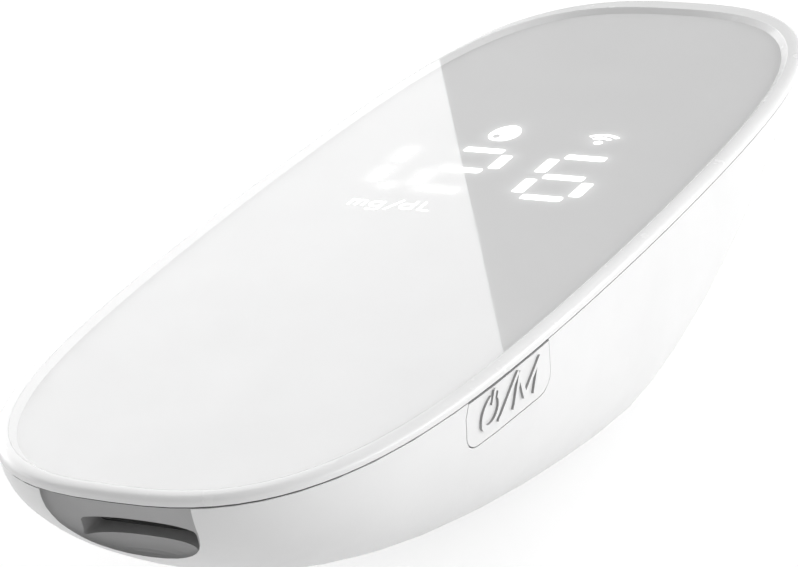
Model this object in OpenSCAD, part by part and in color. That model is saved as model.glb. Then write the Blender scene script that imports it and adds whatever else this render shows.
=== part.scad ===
// Pocket blood glucose meter: a long oval white case with a flat glossy face, lit digits under a
// clear lens, a power button and a strip ejector on the long sides and a test strip port in the nose.
// +Y points to the display end, +X to the power button and +Z up. The origin lies on the table,
// under the middle of the case.

/* [Case] */
// Overall length of the face, from the strip end to the display end
body_l = 95.3; // [92:0.1:99]
// Overall width of the face
body_w = 34.3; // [33:0.1:37]
// Height of the seam between the case and the cover above the table
seam_h = 17.2; // [16.8:0.1:19]
// Height of the cover above that seam
cover_h = 0.9; // [0.8:0.05:1.4]
// Roundness of the long sides seen from above; 2 is an ellipse
side_power = 2.7; // [2.4:0.1:3.2]
// Bluntness of the two ends seen from above
end_power = 6; // [5:0.5:8]
// How far the sides draw in towards the ends, as a share of the width
end_taper = 0.16; // [0.1:0.01:0.2]
// Wall thickness of the lower case
wall = 1.5; // [1.2:0.1:1.8]
// Step of the lower case inside the edge of the cover
case_step = 0.1; // [0:0.05:0.3]

/* [Keel] */
// Depth of the case edge at both tips
lip_t = 0.6; // [0.4:0.1:1]
// How much deeper than the base flat the rounded keel would run
keel_extra = 0.6; // [0.3:0.1:1]
// Run of the nose curve's first handle along the case
nose_run = 4.5; // [3.5:0.1:6]
// Drop of the nose curve's first handle
nose_drop = 14.9; // [13:0.1:16]
// Where the keel is deepest
keel_y = 2.95; // [0:0.05:6]
// Reach of the tail curve's first handle from the deepest point
tail_reach = 26.85; // [22:0.05:30]
// Reach of the tail curve's last handle from the display end
tail_lift = 18.9; // [16:0.1:22]
// Roundness of the cross-section at the strip end
nose_power = 2; // [1.8:0.05:2.4]
// Roundness of the cross-section in the middle
mid_power = 2.9; // [2.5:0.05:3.2]
// Roundness of the cross-section at the display end
tail_power = 1.5; // [1.4:0.05:2]

/* [Cover] */
// Height of the rounding of the cover's top edge
edge_r = 0.45; // [0.2:0.05:0.6]
// Width of that rounding seen from above
edge_run = 0.8; // [0.4:0.05:0.85]
// Gap between the case and the cover that shows as the dark seam
seam_gap = 0.18; // [0.1:0.01:0.2]
// Width of the white border beside the lens
border_side = 0.9; // [0.9:0.05:1.4]
// Width of that border at the strip end
border_near = 0.9; // [0.9:0.05:1.4]
// Width of that border at the display end
border_far = 2.2; // [1.4:0.05:2.4]
// Thickness of the clear lens
lens_t = 0.4; // [0.3:0.05:0.45]
// Gap around the lens
lens_gap = 0.05; // [0.03:0.01:0.1]
// Depth of the lit inlays in that floor
inlay_t = 0.2; // [0.1:0.05:0.25]
// Depth of the locating rails under the cover
rail_h = 1.4; // [1:0.1:1.6]
// Thickness of those rails
rail_t = 0.6; // [0.5:0.1:0.8]
// Gap between the rails and the case wall
rail_gap = 0.15; // [0.1:0.01:0.3]
// Distance of the rails' near ends from the strip end
rail_from_tip = 10.7; // [10:0.1:14]
// Distance of the rails' far ends from the display end
rail_to_tail = 24.7; // [24:0.1:30]
// Width of the seal in the seam
seal_w = 0.9; // [0.5:0.1:1]
// Distance of the seal from the outer edge of the cover
seal_in = 0.22; // [0.15:0.01:0.4]

/* [Display] */
// Centre of the middle digit across the case
digit_x = -2.4; // [-2.6:0.01:-1]
// Distance of the digits' middle from the display end
display_to_tail = 39.04; // [38:0.02:41]
// Distance from digit to digit
digit_pitch = 8.43; // [8:0.01:8.6]
// Distance of the left digit from the middle one
left_pitch = 8.05; // [7.8:0.01:8.6]
// Distance between the upright bars of one digit
digit_w = 4.58; // [4.2:0.02:4.8]
// Distance between the level bars of one digit
digit_h = 4.08; // [3.8:0.02:4.3]
// Width of a lit bar
bar_w = 0.92; // [0.7:0.01:1]
// Radius of a bar's corners
bar_r = 0.22; // [0.1:0.02:0.35]
// Free space between the ends of two bars
bar_gap = 1.35; // [1.05:0.05:1.5]
// Diameter of the decimal point
dot_d = 0.95; // [0.8:0.05:1.1]
// Distance of the two icons above the middle of the digits
icon_rise = 7.8; // [7.4:0.1:8]
// Distance of the unit lettering below the middle of the digits
unit_drop = 7.7; // [7.6:0.1:8.2]
// Width of the strokes of the unit
letter_w = 0.19; // [0.16:0.01:0.24]
// Height of the small letters of the unit
letter_h = 1; // [0.9:0.05:1.2]
// Half width of the drop sign
drop_a = 1.17; // [1:0.01:1.4]
// Half height of the drop sign
drop_b = 1.65; // [1.4:0.05:1.9]
// Gap around each inlay
inlay_gap = 0.03; // [0.02:0.01:0.08]
// Wall of the mask outside the outermost bars
mask_margin = 1; // [0.8:0.1:1.1]

/* [Power button] */
// Distance of the button's near edge from the strip end
button_from_tip = 18.8; // [17:0.1:21]
// Length of the button along the case
button_l = 11; // [10:0.1:12]
// Height of the button below the seam
button_drop = 3.5; // [3.2:0.1:3.8]
// Radius of the button's lower corners
button_r = 1.4; // [1:0.1:1.5]
// How far the near edge leans in up to the seam
button_lean = 0.45; // [0:0.05:0.6]
// Gap around the button
button_gap = 0.1; // [0.08:0.01:0.15]
// Travel of the button
button_travel = 0.35; // [0.2:0.05:0.4]
// How far the marks stand out of the button
mark_rise = 0.17; // [0.1:0.05:0.3]
// Width of the strokes of the marks
mark_w = 0.36; // [0.25:0.01:0.45]
// Lean of the marks towards the display end
mark_lean = 0.45; // [0:0.05:0.6]
// Depth of the retaining plate behind the button
plate_t = 0.7; // [0.5:0.1:0.9]

/* [Strip ejector] */
// Place of the ejector's thumb piece at rest, as a share of the length from the strip end
ejector_share = 0.389; // [0.385:0.001:0.395]
// Travel of the ejector
ejector_travel = 5; // [4:0.5:5.5]
// Length of the thumb piece
thumb_l = 7; // [6:0.1:8]
// Height of the thumb piece
thumb_h = 3; // [2.6:0.1:3.2]
// Thickness of the thumb piece
thumb_t = 0.75; // [0.6:0.05:0.8]
// Gap around the thumb piece and its lug
slide_gap = 0.15; // [0.1:0.01:0.2]
// Height of the lug that passes through the case
lug_h = 1.2; // [1:0.1:1.4]
// Width of the bars of the ejector carriage
rod_w = 1.2; // [1:0.1:1.4]
// Outer diameter of the return spring
spring_d = 1.7; // [1.4:0.1:1.9]
// Wire diameter of the return spring
spring_wire = 0.3; // [0.2:0.05:0.35]

/* [Strip port] */
// Distance from the tip to the floor of the scoop at the seam
port_top = 2; // [1.8:0.05:2.2]
// Run of that slanted floor along the case
port_run = 3.45; // [3.2:0.05:3.8]
// Height over which the floor runs so far
port_drop = 6.6; // [6.2:0.1:7]
// Width of the scoop at its widest
scoop_w = 11; // [10:0.1:12]
// Height of the scoop below the seam
scoop_h = 5.45; // [5:0.05:6]
// Distance from the tip to the edge of the scoop at the seam
scoop_lead = 0.75; // [0.6:0.05:1]
// How much the edge of the scoop runs back lower down
scoop_curve = 0.1; // [0.08:0.005:0.12]
// Thickness of the case wall behind the slanted face
nose_t = 1; // [0.8:0.05:1.3]
// Width of the port insert behind that wall
insert_w = 9.6; // [9.4:0.1:10]
// Thickness of the insert's floor and roof
insert_t = 0.45; // [0.35:0.05:0.5]
// Gap between the insert and the case
insert_gap = 0.06; // [0.03:0.01:0.1]
// Width of the test strip channel
strip_w = 6.3; // [6:0.1:6.6]
// Height of the test strip channel
strip_h = 0.8; // [0.6:0.05:1]
// Height of the strip channel's floor below the seam
strip_drop = 4.2; // [4.1:0.05:4.4]
// Width of the mouth
mouth_w = 8.5; // [7:0.1:8.6]
// Height of the mouth
mouth_h = 1.35; // [1.2:0.05:1.5]
// Radius of the mouth's corners
mouth_r = 0.25; // [0.1:0.05:0.4]

/* [Board] */
// Thickness of the circuit board
board_t = 1; // [0.8:0.1:1.2]
// Height of the board's upper face below the seam
board_drop = 4.9; // [4.8:0.05:5.2]
// Distance of the board's long edges from the edge of the face
board_inset = 5.15; // [4.95:0.05:5.6]
// Distance of the board's near edge from the strip end
board_from_tip = 8.65; // [8.4:0.05:10]
// Distance of the board's far edge from the display end
board_to_tail = 22.15; // [21.7:0.05:24]
// Bore of the screw bosses
screw_d = 1.2; // [1:0.1:1.4]
// Diameter of the screw heads
head_d = 2.6; // [2.2:0.1:3]
// Outer diameter of the screw bosses
boss_d = 3.6; // [3.2:0.1:4]
// Length of the screws under the head
screw_l = 3; // [2.5:0.1:3.4]
// Height of the screw heads
head_h = 0.7; // [0.5:0.05:0.9]
// Distance of the processor's middle from the board's near edge
chip_from_edge = 23; // [22:0.5:24]
// Side of the processor
chip_w = 6; // [5:0.1:7]
// Height of the processor
chip_h = 0.9; // [0.6:0.05:1]
// Width of the radio module's can
radio_w = 7; // [5:0.1:8]
// Length of the radio module's can
radio_l = 5.4; // [4:0.1:5.6]
// Height of the radio module's can
radio_h = 1.6; // [1.2:0.1:2]
// Length of the small parts on the board
small_l = 1.4; // [1:0.1:1.6]
// Height of the small parts on the board
small_h = 0.6; // [0.4:0.05:0.8]
// Side of the light-emitting diodes
led_w = 0.8; // [0.6:0.05:1]
// Height of the light-emitting diodes
led_h = 0.6; // [0.4:0.05:0.8]
// Length of the strip connector
connector_l = 8; // [7.5:0.1:8.2]
// Width of the strip connector
connector_w = 10; // [9:0.1:10.2]
// Height of the strip connector
connector_h = 3; // [2.4:0.1:3.2]

/* [Battery] */
// Distance of the cell's sides from the edge of the face
cell_inset = 8.4; // [8.25:0.05:9.5]
// Distance of the cell's ends from the tips
cell_to_tips = 36.65; // [36.4:0.05:39]
// Thickness of the battery cell
cell_t = 5; // [4:0.1:5.2]
// Middle of the cell along the case
cell_y = 0; // [-0.4:0.1:0.4]
// Thickness of the tray under the cell
tray_t = 0.8; // [0.6:0.1:1]
// Height of the foam pad's underside over the lowest point of the case floor
foam_rise = 1.7; // [1.6:0.05:2.4]
// How much narrower the foam pad is than the cell, on each side
foam_side = 3.75; // [3:0.05:6]
// How much shorter the foam pad is than the cell, at each end
foam_end = 2.5; // [2.5:0.05:6]

/* [Charging socket] */
// Middle of the charging socket along the case
socket_y = 6.5; // [5:0.1:8]
// Width of the socket's shell
socket_w = 7.5; // [7.3:0.1:7.8]
// Height of the socket's shell
socket_h = 2.6; // [2.5:0.05:2.8]
// Depth of the socket's shell
socket_l = 5.4; // [5:0.1:5.6]
// Sheet thickness of the socket's shell
shell_t = 0.3; // [0.25:0.05:0.4]
// Free space around the socket in the case opening
socket_gap = 0.25; // [0.15:0.05:0.4]

/* [Hidden] */

e = 0.01;                       // overcut
plan_steps = 56;                // steps of the outline from tip to tip
arc_steps = 28;                 // steps of one cross-section
nose_steps = 18;                // cross-sections from the strip end to the keel
tail_steps = 20;                // cross-sections from the keel to the display end
scoop_steps = 12;               // levels of the scoop
scoop_arc = 24;                 // steps of one level
scoop_power = 2.5;              // fullness of its levels; 2 is an ellipse
near_y = -body_l / 2;
top_h = seam_h + cover_h;
lens_z = top_h - lens_t;        // floor of the lens pocket
cover_z = seam_h + seam_gap;    // underside of the cover
rail_in = case_step + wall + rail_gap;
digit_y = body_l / 2 - display_to_tail;

// ---------- outline of the case seen from above ----------

// Half width of the outline at y, drawn in by inset
function half_w(y, inset) =
  let (b = body_l / 2 - inset, u = min(1, abs(y) / b))
  (body_w / 2 - inset) * pow(max(0, 1 - pow(u, end_power)), 1 / side_power)
  * (1 - end_taper * u * u);

function right_side() =
  [for (i = [0:plan_steps]) let (y = -cos(180 * i / plan_steps) * body_l / 2) [half_w(y, 0), y]];

function outline() =
  let (r = right_side())
  concat(r, [for (i = [plan_steps - 1:-1:1]) [-r[i][0], r[i][1]]]);

// The outline moved inwards along its normal, by different widths at the sides and the two ends
function inset_outline(side, near, far) =
  let (p = outline(), n = len(p))
  [for (i = [0:n - 1])
    let (
      d = p[(i + 1) % n] - p[(i + n - 1) % n],
      nx = d[1] / norm(d), ny = -d[0] / norm(d),
      w = sqrt(pow(side * nx, 2) + pow((ny < 0 ? near : far) * ny, 2))
    )
    p[i] - w * [nx, ny]];

function lens_outline(gap) =
  inset_outline(border_side + gap, border_near + gap, border_far + gap);

module plan_prism(inset, z0, z1) {
  translate([0, 0, z0]) linear_extrude(z1 - z0) polygon(inset_outline(inset, inset, inset));
}

// A closed solid through rings of equal point counts, each ring given as [points, height]
module stack(rings) {
  n = len(rings[0][0]);
  m = len(rings);
  polyhedron(
    points = [for (r = rings) for (p = r[0]) [p[0], p[1], r[1]]],
    faces = concat(
      [[for (i = [0:n - 1]) i]],
      [for (k = [0:m - 2]) for (i = [0:n - 1]) let (a = k * n + i, b = k * n + (i + 1) % n)
        each [[a, a + n, b], [b, a + n, b + n]]],
      [[for (i = [n - 1:-1:0]) (m - 1) * n + i]]
    )
  );
}

// ---------- boat shape of the lower case ----------

function bezier(p, t) =
  pow(1 - t, 3) * p[0] + 3 * pow(1 - t, 2) * t * p[1] + 3 * (1 - t) * t * t * p[2]
  + pow(t, 3) * p[3];

// Keel points [y, depth] of the case drawn in by inset; the cavity also stops short of the thin tail
function keel(inset) =
  let (
    tip = body_l / 2 - case_step - 0.05 - inset,
    d = seam_h + keel_extra - inset,
    lip = max(0.3, lip_t - max(0, inset) / 3),
    tail = inset > 0.4 ? 5 * inset : 0,
    nose = [[-tip, lip], [-tip + nose_run, nose_drop - inset], [keel_y - 2, d], [keel_y, d]],
    rise = [[keel_y, d], [keel_y + tail_reach - inset, d],
            [tip - tail_lift - inset, lip], [tip - tail, lip]]
  )
  concat(
    [for (i = [0:nose_steps]) bezier(nose, pow(i / nose_steps, 2))],
    [for (i = [1:tail_steps]) bezier(rise, 1 - pow(1 - i / tail_steps, 1.5))]
  );

function section_power(y) =
  let (u = 2 * y / body_l)
  mid_power + (y < 0 ? (nose_power - mid_power) * -u : (tail_power - mid_power) * u);

// One cross-section from the right edge round the bottom to the left edge
function section(y, depth, inset, lift) =
  let (w = half_w(y, case_step + inset), k = 2 / section_power(y))
  concat(
    [[w, y, seam_h + lift]],
    [for (i = [1:arc_steps - 1])
      let (a = 180 * i / arc_steps, c = cos(a))
      [w * sign(c) * pow(abs(c), k), y, seam_h - depth * pow(sin(a), k)]],
    [[-w, y, seam_h + lift]]
  );

// The case's outer shape drawn in by inset, closed at the seam or at lift above it
module case_solid(inset = 0, lift = 0) {
  k = keel(inset);
  n = arc_steps + 1;
  m = len(k);
  rings = [for (p = k) section(p[0], p[1], inset, lift)];
  polyhedron(
    points = [for (r = rings) each r],
    faces = concat(
      [[for (i = [0:n - 1]) i]],
      [for (j = [0:m - 2]) for (i = [0:n - 2]) let (a = j * n + i)
        each [[a, a + n, a + 1], [a + 1, a + n, a + n + 1]]],
      [for (j = [0:m - 2]) let (a = j * n)
        each [[a, a + n - 1, a + n], [a + n - 1, a + 2 * n - 1, a + n]]],
      [[for (i = [n - 1:-1:0]) (m - 1) * n + i]]
    )
  );
}

// ---------- small shapes ----------

// Bar with round ends, centred, l long over all
module bar2d(l, w) {
  square([l - w, w], center = true);
  for (s = [-1, 1]) translate([s * (l - w) / 2, 0]) circle(d = w, $fn = 24);
}

// Rectangle with round corners, from its lower left corner
module round_rect(l, w, r) {
  translate([r, 0]) square([l - 2 * r, w]);
  translate([0, r]) square([l, w - 2 * r]);
  for (x = [r, l - r], y = [r, w - r]) translate([x, y]) circle(r = r, $fn = 24);
}

// Straight stroke from a to b
module stroke2d(a, b, w) {
  d = b - a;
  translate((a + b) / 2) rotate(atan2(d[1], d[0])) bar2d(norm(d) + w, w);
}

// Flat drawing with x along the case and y up, raised towards +X from x0 to x1
module on_side(x0, x1) {
  translate([x0, 0, 0]) rotate([90, 0, 90]) linear_extrude(x1 - x0) children();
}

// ---------- lower case ----------

port_y = near_y + port_top;
port_angle = atan2(port_run, port_drop);

// Frame of the slanted port face: x across, y down along the face, z into the case
module on_port() {
  translate([0, port_y, seam_h]) rotate([port_angle - 90, 0, 0]) children();
}

strip_z = seam_h - strip_drop;
roof_z = strip_z + strip_h;
connector_y = near_y + 6.65;    // near face of the connector
insert_y = port_y + (seam_h - roof_z) * port_run / port_drop;

// The insert's block, cut off behind the case wall
module insert_solid(gap) difference() {
  translate([-insert_w / 2 - gap, insert_y - port_run, strip_z - insert_t - gap])
    cube([insert_w + 2 * gap, connector_y - insert_gap - insert_y + port_run + gap,
          mouth_h + 2 * insert_t + 2 * gap]);
  on_port() translate([-body_w / 2, -body_w, -body_w])
    cube([body_w, 2 * body_w, body_w + nose_t + insert_gap - gap]);
}

// Half width of the scoop at depth d under the seam, and how far its floor lies behind its edge
function scoop_half(d) = scoop_w / 2 * pow(1 - pow(d / scoop_h, 3), 1 / 2.4);
function scoop_floor(d) =
  (port_top - scoop_lead + d * port_run / port_drop - scoop_curve * d * d)
  * pow(1 - pow(d / scoop_h, 8), 0.5);

// Level section of the scoop, open to the front
function scoop_section(d) =
  let (w = scoop_half(d), y = near_y + scoop_lead + scoop_curve * d * d, k = 2 / scoop_power)
  concat(
    [[w, near_y - 5]],
    [for (i = [0:scoop_arc])
      let (a = 180 * i / scoop_arc, c = cos(a))
      [w * sign(c) * pow(abs(c), k), y + scoop_floor(d) * pow(sin(a), k)]],
    [[-w, near_y - 5]]
  );

// The round scoop in the nose, with the strip's mouth in its floor
module scoop() stack(concat(
  [for (i = [scoop_steps:-1:0]) let (d = scoop_h * sin(88 * i / scoop_steps))
    [scoop_section(d), seam_h - d]],
  [[scoop_section(0), seam_h + 1]]
));

// Mouth through the case wall
module mouth() translate([0, connector_y - 0.5, 0]) rotate([90, 0, 0]) linear_extrude(port_run + 5)
  translate([-mouth_w / 2, strip_z]) round_rect(mouth_w, mouth_h, mouth_r);

// Lead-in that narrows from the mouth to the strip's channel
module funnel() {
  y0 = connector_y - 2.1;
  y1 = connector_y + e;
  h = [[mouth_w / 2, mouth_h], [strip_w / 2, strip_h]];
  polyhedron(
    points = [for (k = [0, 1]) for (c = [[-1, 0], [1, 0], [1, 1], [-1, 1]])
      [c[0] * h[k][0], k == 0 ? y0 : y1, strip_z + c[1] * h[k][1]]],
    faces = [[0, 3, 2, 1], [4, 5, 6, 7], [0, 1, 5, 4], [1, 2, 6, 5], [2, 3, 7, 6], [3, 0, 4, 7]]
  );
}

button_y = near_y + button_from_tip;
button_z = seam_h - button_drop;

// Side view of the button: round lower corners, near edge leaning in, half the gap at the far edge
module button_side(gap, up) {
  near = button_y - gap;
  far = button_y + button_l + gap / 2;
  r = button_r + gap;
  polygon(concat(
    [[near + button_lean * (1 + up), seam_h + up], [near, seam_h - 1]],
    [for (a = [180:15:270]) [near + r + r * cos(a), button_z - gap + r + r * sin(a)]],
    [for (a = [270:15:360]) [far - r + r * cos(a), button_z - gap + r + r * sin(a)]],
    [[far, seam_h + up]]
  ));
}

slider_y = near_y + ejector_share * body_l;
slider_z = seam_h - 2.25;
thumb_x = -(body_w / 2 - 1.05);     // inner face of the thumb piece
lug_l = 3;

board_z = seam_h - board_drop;
board_y = near_y + board_from_tip;
board_y1 = body_l / 2 - board_to_tail;
board_w = body_w - 2 * board_inset;
socket_z = board_z - board_t - 0.05 - socket_h;
socket_x = -(body_w / 2 - case_step - wall - 0.15);

screw_at = [
  [-board_w / 2 + 4.5, board_y + 18], [board_w / 2 - 4.5, board_y + 9],
  [-board_w / 2 + 3, board_y1 - 4.5], [board_w / 2 - 3, board_y1 - 4.5]
];

module screw_bosses() {
  for (p = screw_at)
    translate([p[0], p[1], 0]) cylinder(d = boss_d, h = board_z - board_t, $fn = 32);
}

module lower_housing() color("white") difference() {
  case_solid();
  // the hollow leaves the screw bosses and the wall behind the scoop
  difference() {
    case_solid(wall, 1);
    screw_bosses();
    on_port() translate([-body_w / 2, -body_w / 2, -body_w])
      cube([body_w, body_w, body_w + nose_t]);
  }
  translate([-body_w, -body_l, -5]) cube([2 * body_w, 2 * body_l, 5]);
  scoop();
  insert_solid(insert_gap);
  mouth();
  on_side(body_w / 2 - 4, body_w / 2 + 1) button_side(button_gap, 1);
  // recess and slot of the ejector
  translate([-body_w / 2 - 1, slider_y - ejector_travel - thumb_l / 2 - slide_gap,
             slider_z - thumb_h / 2 - slide_gap])
    cube([1 + body_w / 2 + thumb_x + slide_gap, thumb_l + ejector_travel + 2 * slide_gap,
          thumb_h + 2 * slide_gap]);
  translate([-body_w / 2 - 1, slider_y - ejector_travel - lug_l / 2 - slide_gap,
             slider_z - lug_h / 2 - slide_gap])
    cube([4, lug_l + ejector_travel + 2 * slide_gap, lug_h + 2 * slide_gap]);
  // opening for the charging plug
  translate([-body_w / 2 - 1, socket_y - socket_w / 2 - socket_gap, socket_z - socket_gap])
    rotate([90, 0, 90]) linear_extrude(4)
      round_rect(socket_w + 2 * socket_gap, socket_h + 2 * socket_gap, 1);
  for (p = screw_at) translate([p[0], p[1], board_z - board_t - screw_l])
    cylinder(d = screw_d, h = screw_l + 1, $fn = 24);
}

// ---------- cover ----------

edge_steps = 4;
rail_y0 = near_y + rail_from_tip;
rail_y1 = body_l / 2 - rail_to_tail;

// Rails inside the case's long walls that locate the cover, with a gap for the button
module locating_rails() difference() {
  plan_prism(rail_in, cover_z - rail_h, cover_z + e);
  plan_prism(rail_in + rail_t, cover_z - rail_h - 1, cover_z + 1);
  translate([-body_w, rail_y0 - body_l, 0]) cube([2 * body_w, body_l, top_h]);
  translate([-body_w, rail_y1, 0]) cube([2 * body_w, body_l, top_h]);
  translate([0, button_y - 1, 0]) cube([body_w, button_l + 2, top_h]);
}

module cover_frame() color("whitesmoke") {
  difference() {
    stack(concat(
      [[outline(), cover_z]],
      [for (i = [0:edge_steps])
        let (a = 90 * i / edge_steps, s = edge_run * (1 - cos(a)))
        [inset_outline(s, s, s), top_h - edge_r * (1 - sin(a))]]
    ));
    translate([0, 0, lens_z]) linear_extrude(lens_t + 1) polygon(lens_outline(0));
    all_inlays();
  }
  locating_rails();
}

module cover_lens() color([0.9, 0.95, 1, 0.35])
  translate([0, 0, lens_z]) linear_extrude(lens_t) polygon(lens_outline(lens_gap));

module cover_seal() color("dimgray") difference() {
  plan_prism(seal_in, seam_h, cover_z);
  plan_prism(seal_in + seal_w, seam_h - 1, cover_z + 1);
}

// ---------- digits, icons and their light ----------

bar_h = digit_w - bar_gap;      // length of a level bar
bar_v = digit_h - bar_gap;      // length of an upright bar

function digit_x_of(k) = digit_x + (k - 1) * (k == 0 ? left_pitch : digit_pitch);

// The seven bars of a digit, a to g, each as [x, y, upright]
BARS = [
  [0, 1, 0], [0.5, 0.5, 1], [0.5, -0.5, 1], [0, -1, 0], [-0.5, -0.5, 1], [-0.5, 0.5, 1], [0, 0, 0]
];

module lit_bar(l, w, r) translate([-l / 2, -w / 2]) round_rect(l, w, r);

module one_bar(k, n, gap) {
  b = BARS[n];
  translate([digit_x_of(k) + b[0] * digit_w, digit_y + b[1] * digit_h])
    rotate(b[2] * 90) lit_bar((b[2] == 1 ? bar_v : bar_h) + 2 * gap, bar_w + 2 * gap, bar_r + gap);
}

// Which bars are lit: 1, 2 and 6
LIT = [[1, 2], [0, 1, 6, 4, 3], [0, 5, 6, 4, 2, 3]];

module dot2d(gap) {
  translate([digit_x_of(0) + digit_w / 2 + 1.6, digit_y - digit_h])
    circle(d = dot_d + 2 * gap, $fn = 24);
}

// Drop, narrower towards the display end, with a small gleam left out
module drop2d(gap) translate([digit_x + 0.06, digit_y + icon_rise]) difference() {
  polygon([for (i = [0:47]) let (a = 7.5 * i)
    [(drop_a + gap) * cos(a) * (1 - 0.13 * sin(a)), (drop_b + gap) * sin(a)]]);
  translate([-0.46, -0.72]) rotate(20) scale([0.33 - gap, 0.46 - gap]) circle(r = 1, $fn = 24);
}

// Two arcs over a dot, the sign for a radio link
module radio2d(gap) {
  translate([digit_x + digit_pitch - 0.4, digit_y + icon_rise - 0.5]) {
    circle(r = 0.34 + gap, $fn = 24);
    for (r = [0.95, 1.6]) intersection() {
      difference() {
        circle(r = r + 0.16 + gap, $fn = 48);
        circle(r = r - 0.16 - gap, $fn = 48);
      }
      polygon([[0, -gap * 2], [2.2, 2.2 - gap], [0, 3], [-2.2, 2.2 - gap]]);
    }
  }
}

// The unit in plain strokes, one row of letters
module unit2d(gap) {
  h = letter_h;
  w = letter_w + 2 * gap;
  translate([digit_x_of(0) + digit_w / 2 + 0.35, digit_y - unit_drop - h / 2])
  scale([0.95, 0.95]) {
    // m
    for (x = [0, 0.62, 1.24]) stroke2d([x, 0], [x, h - 0.1], w);
    stroke2d([0, h], [1.1, h], w);
    // g
    translate([2.25, h / 2]) ring2d(h / 2, w);
    stroke2d([2.25 + h / 2, h], [2.25 + h / 2, -0.45], w);
    stroke2d([1.85, -0.6], [2.25 + h / 2 - 0.15, -0.6], w);
    // slash
    stroke2d([3.35, -0.35], [4.1, h + 0.55], w);
    // d
    translate([4.85, h / 2]) ring2d(h / 2, w);
    stroke2d([4.85 + h / 2, 0], [4.85 + h / 2, h + 0.55], w);
    // L
    stroke2d([6.05, 0], [6.05, h + 0.55], w);
    stroke2d([6.05, 0], [6.85, 0], w);
  }
}

module ring2d(r, w) {
  difference() {
    circle(r = r + w / 2, $fn = 32);
    circle(r = r - w / 2, $fn = 32);
  }
}

// Every inlay's pocket in the cover's floor
module all_inlays() {
  translate([0, 0, lens_z - inlay_t]) linear_extrude(inlay_t + lens_t) {
    for (k = [0:2], n = LIT[k]) one_bar(k, n, inlay_gap);
    dot2d(inlay_gap);
    drop2d(inlay_gap);
    radio2d(inlay_gap);
    unit2d(inlay_gap);
  }
}

module inlay_solid() {
  color("white") translate([0, 0, lens_z - inlay_t]) linear_extrude(inlay_t) children();
}

module digit_left() inlay_solid() for (n = LIT[0]) one_bar(0, n, 0);
module digit_middle() inlay_solid() for (n = LIT[1]) one_bar(1, n, 0);
module digit_right() inlay_solid() for (n = LIT[2]) one_bar(2, n, 0);
module decimal_point() inlay_solid() dot2d(0);
module drop_icon() inlay_solid() drop2d(0);
module radio_icon() inlay_solid() radio2d(0);
module unit_mark() inlay_solid() unit2d(0);

mask_x0 = digit_x_of(0) - digit_w / 2 - mask_margin;
mask_x1 = digit_x_of(2) + digit_w / 2 + mask_margin;
mask_y0 = digit_y - unit_drop - letter_h / 2 - mask_margin;
mask_y1 = digit_y + icon_rise + mask_margin + 1.4;
mask_z0 = board_z + 1.1;
mask_z1 = cover_z - 0.1;

module guide_plan(gap) {
  for (k = [0:2], n = [0:6]) one_bar(k, n, gap);
  dot2d(gap);
  translate([digit_x, digit_y + icon_rise]) circle(r = drop_b + gap, $fn = 32);
  translate([digit_x + digit_pitch - 0.4, digit_y + icon_rise]) circle(r = 1.6 + gap, $fn = 32);
  translate([digit_x_of(0) + digit_w / 2 - 0.1 - gap, digit_y - unit_drop - 1.2 - gap])
    square([7.5 + 2 * gap, 1.9 + 2 * gap]);
}

module display_mask() color("gray") difference() {
  translate([mask_x0, mask_y0, mask_z0])
    cube([mask_x1 - mask_x0, mask_y1 - mask_y0, mask_z1 - mask_z0]);
  translate([0, 0, mask_z0 - 1]) linear_extrude(mask_z1 - mask_z0 + 2) guide_plan(0.05);
}

module light_guides() color("lightcyan")
  translate([0, 0, mask_z0]) linear_extrude(mask_z1 - mask_z0) guide_plan(0);

module led_array() color("khaki") {
  for (k = [0:2], b = BARS) led(digit_x_of(k) + b[0] * digit_w, digit_y + b[1] * digit_h);
  led(digit_x, digit_y + icon_rise);
  led(digit_x + digit_pitch - 0.4, digit_y + icon_rise);
  led(digit_x_of(0) + digit_w / 2 + 3.5, digit_y - unit_drop);
}

module led(x, y) {
  translate([x - led_w / 2, y - led_w / 2, board_z]) cube([led_w, led_w, led_h]);
}

// ---------- circuit board ----------

module board_plan() {
  hw = board_w / 2;
  y1 = board_y1;
  polygon([
    [-6, board_y], [6, board_y], [7, board_y + 4], [hw, board_y + 9], [hw, y1 - 4.5],
    [hw - 3, y1], [-hw + 3, y1], [-hw, y1 - 4.5], [-hw, board_y + 9], [-7, board_y + 4]
  ]);
}

module main_board() color("darkgreen") difference() {
  translate([0, 0, board_z - board_t]) linear_extrude(board_t) board_plan();
  for (p = screw_at) translate([p[0], p[1], board_z - board_t - 1])
    cylinder(d = screw_d + 0.4, h = board_t + 2, $fn = 24);
}

module board_screws() color("silver") for (p = screw_at) translate([p[0], p[1], 0]) {
  translate([0, 0, board_z - board_t - screw_l + 0.6])
    cylinder(d = screw_d - 0.02, h = screw_l + board_t - 0.6 + e, $fn = 24);
  difference() {
    translate([0, 0, board_z]) cylinder(d = head_d, h = head_h, $fn = 32);
    for (a = [0, 90]) translate([0, 0, board_z + head_h]) rotate(a)
      cube([1.5, 0.35, 0.7], center = true);
  }
}

module chip(x, y, w, l, h) {
  translate([x - w / 2, y - l / 2, board_z]) cube([w, l, h]);
}

chip_y = board_y + chip_from_edge;

module processor_chip() color("black") chip(-1, chip_y, chip_w, chip_w, chip_h);

module radio_module() color("silver")
  chip(1.5, board_y1 - 0.6 - radio_l / 2, radio_w, radio_l, radio_h);

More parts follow.
